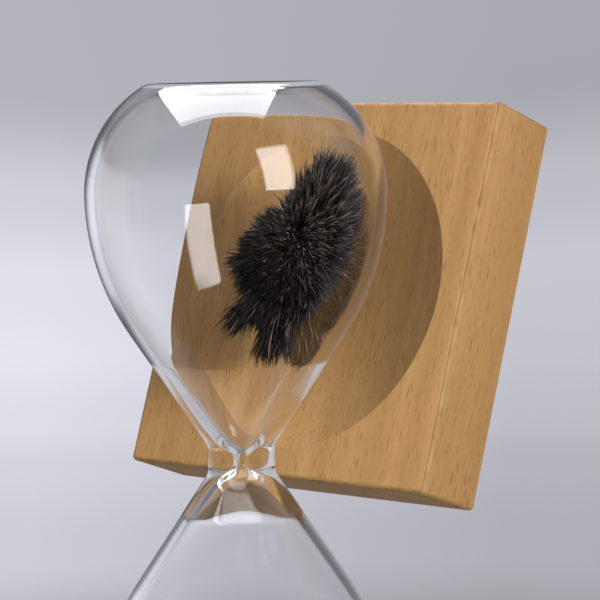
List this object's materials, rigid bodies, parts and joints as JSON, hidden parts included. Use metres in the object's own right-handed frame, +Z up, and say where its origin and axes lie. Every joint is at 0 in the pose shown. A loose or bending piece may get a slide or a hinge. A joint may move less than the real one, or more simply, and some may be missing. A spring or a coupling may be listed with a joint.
{
  "type": "magnetic hourglass",
  "caption": "Sealed glass hourglass of iron filings, with a dished square beech base whose magnet holds the filings in tufts through the bulb and lets go when the base is pulled off.",
  "frame": {"origin": "centre of the flat foot of the lower bulb, on the surface that the glass stands on", "axes": "+Z up along the axis of the glass; the base leans against the back of the upper bulb, on the +Y side, and its dish faces -Y"},
  "size_m": [0.086, 0.0873, 0.1623],
  "materials": {
    "glass": "clear blown borosilicate glass",
    "iron": "black iron filings in needle tufts",
    "beech": "sanded and oiled beech with short dark ray flecks",
    "magnet": "nickel plated",
    "glue": "cured clear amber glue",
    "felt": "dark brown wool felt"
  },
  "bodies": {
    "glass": {"upper_bulb": "glass", "lower_bulb": "glass"},
    "filings": {"iron_filings": "iron"},
    "base": {"base_block": "beech", "magnet": "magnet", "magnet_glue": "glue", "bore_plug": "beech", "felt_pads": "felt"}
  },
  "joints": [
    {"name": "base_pull", "type": "slide", "parent": "glass", "child": "base", "axis": [0, 0.9426, -0.3338], "range_m": [0, 0.05]},
    {"name": "filings_slump", "type": "slide", "parent": "glass", "child": "filings", "axis": [0, -0.7986, -0.6018], "range_m": [0, 0.006]}
  ],
  "couplings": [
    {"joint": "filings_slump", "follows": "base_pull", "ratio": 0.12}
  ]
}
